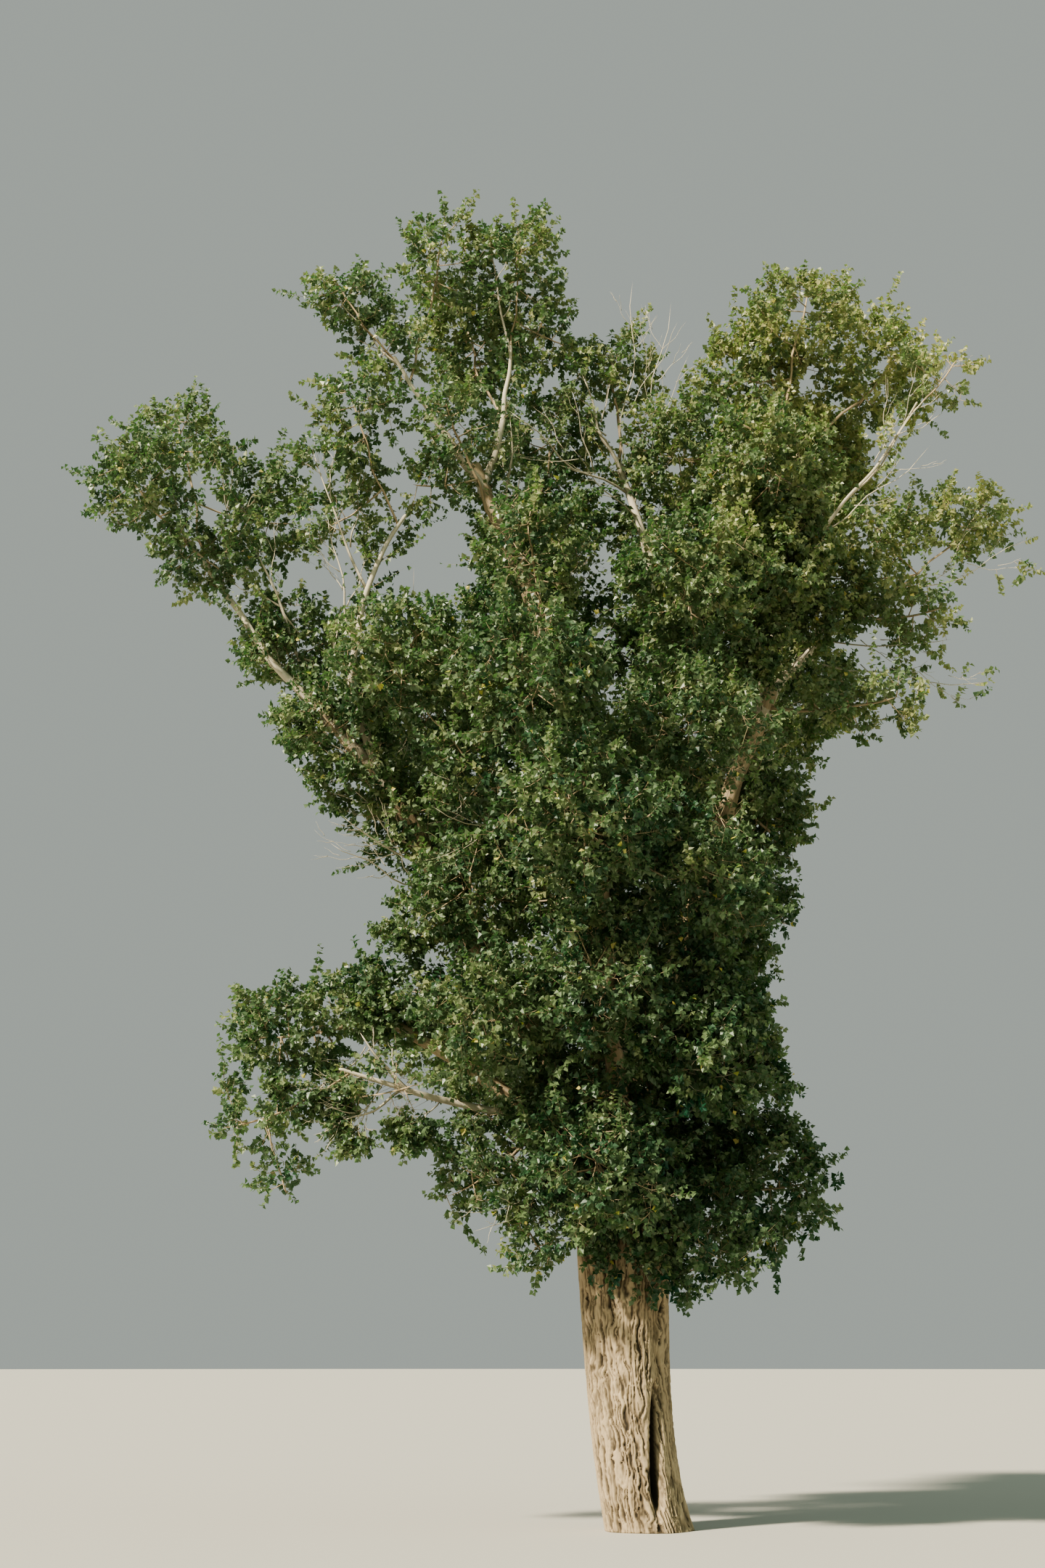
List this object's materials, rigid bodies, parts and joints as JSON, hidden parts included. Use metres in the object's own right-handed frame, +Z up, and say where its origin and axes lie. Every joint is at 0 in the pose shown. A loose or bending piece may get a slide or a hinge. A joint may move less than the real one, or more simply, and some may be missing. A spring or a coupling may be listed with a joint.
{
  "type": "poplar tree",
  "caption": "Broad-crowned poplar tree: leaning furrowed trunk that forks low into pale rising boughs, with loose masses of small leaves, fixed to the ground by the flat cut under its trunk.",
  "frame": {"origin": "centre of the flat cut under the trunk, at ground level", "axes": "+Z up the tree, +X east along the crown's widest reach, +Y north; the tree's best-known side faces south, along -Y"},
  "size_m": [10.3184, 7.8889, 14.1788],
  "materials": {
    "trunk_bark": "rough, deeply furrowed grey-buff bark",
    "bough_bark": "smooth pale bark",
    "leaf_green": "small glossy leaves"
  },
  "bodies": {
    "root": {"trunk": "trunk_bark", "bough_leader": "bough_bark", "bough_east": "bough_bark", "bough_west": "bough_bark", "bough_front": "bough_bark", "bough_back": "bough_bark", "bough_low_west": "bough_bark", "bough_broken": "bough_bark", "bough_middle": "bough_bark", "bough_top_west": "bough_bark", "bough_top": "bough_bark", "bough_far_west": "bough_bark", "bough_fork_west": "bough_bark", "bough_far_east": "bough_bark", "bough_east_top": "bough_bark", "bough_bare": "bough_bark", "bough_front_high": "bough_bark", "bough_back_high": "bough_bark", "bough_back_west": "bough_bark", "foliage_tip_west": "leaf_green", "foliage_tip_left": "leaf_green", "foliage_tip_right": "leaf_green", "foliage_top_back": "leaf_green", "foliage_fork_west": "leaf_green", "foliage_leader_west": "leaf_green", "foliage_middle_top": "leaf_green", "foliage_middle_west": "leaf_green", "foliage_leader_front": "leaf_green", "foliage_back_top": "leaf_green", "foliage_east_top": "leaf_green", "foliage_east_shoulder": "leaf_green", "foliage_bare_tip": "leaf_green", "foliage_east_upper": "leaf_green", "foliage_east_back": "leaf_green", "foliage_far_east": "leaf_green", "foliage_far_east_low": "leaf_green", "foliage_east_low": "leaf_green", "foliage_neck_upper": "leaf_green", "foliage_neck": "leaf_green", "foliage_middle_front": "leaf_green", "foliage_back_east": "leaf_green", "foliage_front_high": "leaf_green", "foliage_front_west": "leaf_green", "foliage_front": "leaf_green", "foliage_front_low": "leaf_green", "foliage_far_west": "leaf_green", "foliage_far_west_top": "leaf_green", "foliage_west_upper": "leaf_green", "foliage_west": "leaf_green", "foliage_waist": "leaf_green", "foliage_back_west": "leaf_green", "foliage_back": "leaf_green", "foliage_low_west": "leaf_green", "foliage_low_west_hang": "leaf_green", "foliage_skirt_west": "leaf_green", "foliage_skirt_front": "leaf_green", "foliage_low_east": "leaf_green", "foliage_low_east_top": "leaf_green", "foliage_low_back": "leaf_green"}
  },
  "joints": []
}
